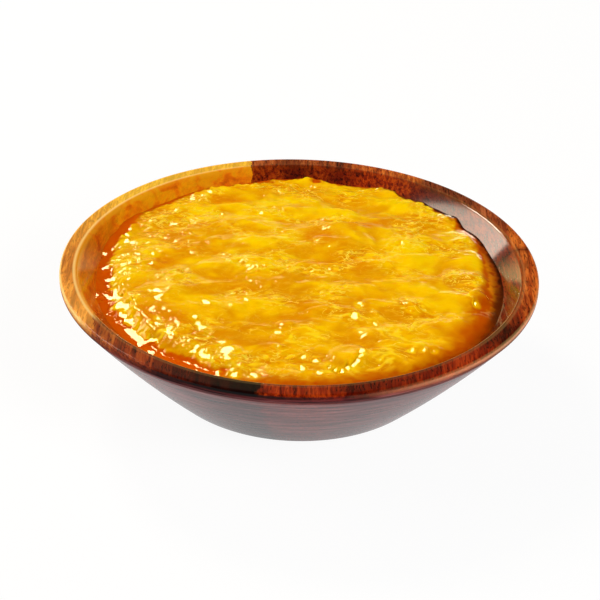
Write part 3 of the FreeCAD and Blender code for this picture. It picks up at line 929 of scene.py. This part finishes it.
def make_jam():
    """A grid cut to a disc, lifted to the heights, with its rim carried down inside the wall and closed."""
    deselect_all()
    count = len(axis_marks) - 1
    bpy.ops.mesh.primitive_grid_add(x_subdivisions=count, y_subdivisions=count,
                                    size=2 * half_count * GRID_STEP * MM)
    jam = bpy.context.active_object
    jam.name = "jam_pulp"
    mesh = jam.data
    place = np.zeros(len(mesh.vertices) * 3)
    mesh.vertices.foreach_get("co", place)
    place = place.reshape(-1, 3)
    x, y = place[:, 0] / MM, place[:, 1] / MM
    place[:, 2] = sample(jam_height, x, y) * MM
    reach = np.array([wall_radius(z) for z in place[:, 2] / MM]) + EDGE_PAST_WALL
    outside = np.hypot(x, y) > reach
    mesh.vertices.foreach_set("co", place.ravel())
    mesh.update()
    bpy.ops.object.mode_set(mode="EDIT")
    bpy.ops.mesh.select_mode(type="VERT")
    bpy.ops.mesh.select_all(action="DESELECT")
    bpy.ops.object.mode_set(mode="OBJECT")
    mesh.vertices.foreach_set("select", outside)
    bpy.ops.object.mode_set(mode="EDIT")
    bpy.ops.mesh.delete(type="VERT")
    bpy.ops.mesh.select_non_manifold(extend=False)
    level = float(np.median(jam_height[grid_out < 60]))
    radius = wall_radius(level) + SIDE_PAST_WALL
    for height in SIDE_HEIGHTS:
        bpy.ops.mesh.extrude_region_move(TRANSFORM_OT_translate={"value": (0, 0, (height - level) * MM)})
        share = (wall_radius(height) + SIDE_PAST_WALL) / radius
        bpy.ops.transform.resize(value=(share, share, 1), center_override=(0, 0, 0))
        level = height
        radius *= share
    bpy.ops.mesh.edge_face_add()
    bpy.ops.mesh.select_all(action="SELECT")
    bpy.ops.mesh.normals_make_consistent(inside=False)
    bpy.ops.object.mode_set(mode="OBJECT")
    bpy.ops.object.shade_smooth()
    return jam


jam = make_jam()
print("jam faces", len(jam.data.polygons))

# %% Marks for the paint


def paint(thing, name, field):
    """Stores a grid field on the mesh as a point attribute."""
    place = np.zeros(len(thing.data.vertices) * 3)
    thing.data.vertices.foreach_get("co", place)
    place = place.reshape(-1, 3) / MM
    layer = thing.data.attributes.new(name, "FLOAT", "POINT")
    layer.data.foreach_set("value", sample(field, place[:, 0], place[:, 1]).astype(np.float32))


# What the paint reads: pale fibres, with a painted sheen on the grains at the back edge; crests painted
# lighter and hollows darker, as painted glow and shade; amber gel between them; a painted yellow fringe
# round each glint;
# a tone that darkens towards the wall and in the creases; and a painted shadow where the jam meets the
# wall.
crest = np.maximum(smooth(-1.8, 1.8, 0.8 * mounds + 0.7 * ripples + 0.5 * soft_noise(41, 3.5)), 0.75 * painted_glint_fringe)
# Pale fibres along the strands; on the grains at the back edge the pale paint is a painted sheen of the
# bright backdrop.
pale = np.clip(smooth(0.3, 1.7, strands) * patch + 0.35 * smooth(0.2, 1.4, pebbles) * back_edge, 0, 1)
threads = (0.15 + 0.85 * patch) * pulp * (1 - edge) * (1 - facets)
threads *= (1 - 0.9 * bevel) * (1 - 0.65 * smooth_gel)
# Painted shadow: a dark line where the jam meets the wall, at the right and the back right.
gap = np.maximum(smooth(1.9, 0.5, from_wall + 0.8 * jag) * sector(25, 62),
                 0.65 * smooth(4.2, 1.2, from_wall + jag) * sector(-15, 18))
marks = {"pale": pale * pulp * (1 - edge),
         "crest": crest,
         "amber": smooth(0.1, 1.5, stretched(42, 4.0, 1.5)) * (1 - 0.7 * patch) * (1 - painted_glint_fringe),
         "pulp": pulp,
         "edge": edge * (1 - 0.8 * painted_glint_fringe),
         "threads": threads,
         "depth": np.clip(smooth(5.5, 0.6, from_wall) + 0.5 * smooth(0.2, -1.0, crinkle), 0, 1),
         "gap": gap}
for name, field in marks.items():
    paint(jam, name, field)
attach(jam, "root")
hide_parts("apricot_jam")
print("marks", list(marks))

# %% [markdown]
# ## Apricot jam
# Cooked apricot is a translucent gel: light goes in, scatters a few millimetres and comes out golden, so a
# crest glows yellow and a hollow turns amber. Syrup alone is clear and, over dark wood, a deep orange red.
# All of it is wet, so it has the sharp gloss of sugar syrup, whose index of refraction is about 1.45.

# %% Jam material

SYRUP_IOR = 1.45


def make_jam_material():
    """Wet gel, painted from the marks on the mesh: body, crevices and veins, then syrup and skins."""
    material, tree, shader = new_material("apricot_jam")
    mark = {name: add_node(tree, "Attribute", attribute_name=name).outputs["Fac"] for name in marks}
    place = add_node(tree, "TexCoord").outputs["Object"]
    split = add_node(tree, "SeparateXYZ", {0: place})
    back, right = [
        add_node(tree, "MapRange", {
            "Value": split.outputs[axis], "From Min": start * MM, "From Max": end * MM}, **SOFT)
        for axis, start, end in (("Y", -55, 35), ("X", 40, 64))]

    # Painted glow and shade: the crests of the relief are painted yellower and its hollows darker amber.
    hollow = add_node(tree, "Mix", {0: back, 6: "#DC9200", 7: "#E4A200"}, **MIX)
    top = add_node(tree, "Mix", {0: back, 6: "#F4BE00", 7: "#F8CE00"}, **MIX)
    body = add_node(tree, "Mix", {0: mark["crest"], 6: hollow, 7: top}, **MIX)
    for share, colour in ((mark["amber"], "#DC8600"), (mark["pale"], "#FFD418")):
        body = add_node(tree, "Mix", {0: share, 6: body, 7: colour}, **MIX)

    # Crevices: short dark dashes where gel shows between the fibres.
    gel = stretched_noise(tree, place, (0.5, 1.0, 1.0), 1.3 * MM, 4.0, 0.6)
    crevice = add_node(tree, "ValToRGB", {0: gel}, stops=[(0.36, "#F0BC90"), (0.50, "#FFFFFF")])
    creased = add_node(tree, "Mix", {0: 0.7, 6: body, 7: crevice}, **TIMES)
    body = add_node(tree, "Mix", {0: mark["threads"], 6: body, 7: creased}, **MIX)

    # Veins: thin pale threads that fork and join, 0.3 mm wide, which stand up a hair's breadth.
    across = stretched_noise(tree, place, (0.50, 1.0, 1.0), 2.6 * MM, 3.0, 0.9)
    middle = add_node(tree, "Math", {0: across, 1: 0.5}, operation="SUBTRACT")
    off = add_node(tree, "Math", {0: middle}, operation="ABSOLUTE")
    line = add_node(tree, "MapRange", {"Value": off, "From Min": 0.034, "From Max": 0.004}, **SOFT)
    vein = add_node(tree, "Math", {0: line, 1: mark["threads"]}, operation="MULTIPLY")
    for share, colour in ((vein, "#FFDC40"), (mark["edge"], "#BC5000")):
        body = add_node(tree, "Mix", {0: share, 6: body, 7: colour}, **MIX)

    # Syrup at the left is clear; at the right it holds skins, and a painted shadow darkens the jam along
    # the wall.
    # The skins are darker towards the wall and in the creases.
    skins = add_node(tree, "Mix", {0: mark["depth"], 6: "#DC8A08", 7: "#963C04"}, **MIX)
    syrup = add_node(tree, "Mix", {0: right, 6: "#D25800", 7: skins}, **MIX)
    colour = add_node(tree, "Mix", {0: mark["pulp"], 6: syrup, 7: body}, **MIX)
    colour = add_node(tree, "Mix", {0: mark["gap"], 6: colour, 7: "#3C1206"}, **MIX)
    bump = add_node(tree, "Bump", {"Height": vein, "Strength": 0.5, "Distance": 0.10 * MM})
    fill(tree, shader, {
        "Base Color": colour, "Normal": bump, "Roughness": 0.04, "IOR": SYRUP_IOR,
        "Specular Tint": "#FFE27C", "Subsurface Weight": 0.8, "Subsurface Radius": (1.0, 0.8, 0.3),
        "Subsurface Scale": 0.7 * MM})
    return material


jam.data.materials.append(make_jam_material())
print("jam nodes", len(jam.data.materials[0].node_tree.nodes))

# %% [markdown]
# ## Fruit fibres
# Long cooking frees the apricot's pale veins, which lie in the gel in loose bundles and show as fine light
# threads. Each is drawn as a thin curve along the flow of the jam, with its thickness given by the curve's
# bevel, half sunk into the surface, and all of them are turned into one mesh.

# %% Draw the fibres


def fibre_path(draw, x, y, length):
    """Points of one fibre in millimetres, which follows the flow with a sway of its own."""
    step = length / 9
    sway = draw.uniform(-0.35, 0.35)
    bend = draw.uniform(-0.05, 0.05)
    points = []
    for i in range(10):
        points.append((x, y))
        turn = sample(flow_angle, x, y)
        turn += sway * math.sin(i * 0.9 + bend * 40) + bend * i
        x += step * math.cos(turn)
        y += step * math.sin(turn)
    return points


FIBRE_COUNT = 420
FIBRE_RADIUS = 0.16
FIBRE_REACH = 62  # how far out from the middle a fibre may end
FIBRE_DIP = 0.25  # the ends dive this deep into the gel


def make_fibres(count, seed):
    """Fibres where the pulp is combed, each turned from a curve into mesh."""
    draw = random.Random(seed)
    curve = bpy.data.curves.new("fruit_fibres", "CURVE")
    curve.dimensions = "3D"
    curve.bevel_depth = FIBRE_RADIUS * MM
    curve.bevel_resolution = 1
    curve.use_fill_caps = True
    made = 0
    while made < count:
        x, y = draw.uniform(-62, 60), draw.uniform(-62, 62)
        chance = sample(patch * pulp, x, y)
        points = fibre_path(draw, x, y, draw.uniform(3.5, 11.0))
        end_x, end_y = points[-1]
        if draw.random() > chance ** 1.5 or max(math.hypot(x, y), math.hypot(end_x, end_y)) > FIBRE_REACH:
            continue
        spline = curve.splines.new("POLY")
        spline.points.add(len(points) - 1)
        lift = draw.uniform(-0.22, -0.10)
        thick = draw.uniform(0.55, 1.15)
        for i, (px, py) in enumerate(points):
            share = i / (len(points) - 1)
            height = sample(jam_height, px, py) + lift
            height -= FIBRE_DIP * abs(2 * share - 1) ** 4
            spline.points[i].co = (px * MM, py * MM, height * MM, 1)
            spline.points[i].radius = thick * (0.25 + 0.75 * math.sin(math.pi * (0.08 + 0.84 * share)))
        made += 1
    holder = bpy.data.objects.new("fruit_fibres", curve)
    bpy.context.scene.collection.objects.link(holder)
    make_active(holder)
    bpy.ops.object.convert(target="MESH")
    fibres = bpy.context.active_object
    bpy.ops.object.shade_smooth()
    return fibres


fibres = make_fibres(FIBRE_COUNT, 5)
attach(fibres, "root")
print("fibre faces", len(fibres.data.polygons))

# %% Fibre material


def make_fibre_material():
    """A boiled fruit fibre: golden, and duller than the syrup round it."""
    material, tree, shader = new_material("wet_apricot_fibre")
    place = add_node(tree, "TexCoord").outputs["Object"]
    tint = add_node(tree, "TexNoise", {"Vector": place, "Scale": 1 / (5.0 * MM)})
    share = add_node(tree, "MapRange", {"Value": tint, "From Min": 0.35, "From Max": 0.65}, **SOFT)
    colour = add_node(tree, "Mix", {0: share, 6: "#FFC810", 7: "#FFD430"}, **MIX)
    fill(tree, shader, {
        "Base Color": colour, "Roughness": 0.45, "Specular Tint": "#FFEC98", "IOR": SYRUP_IOR})
    return material


fibres.data.materials.append(make_fibre_material())
print("fibre material", fibres.data.materials[0].name)
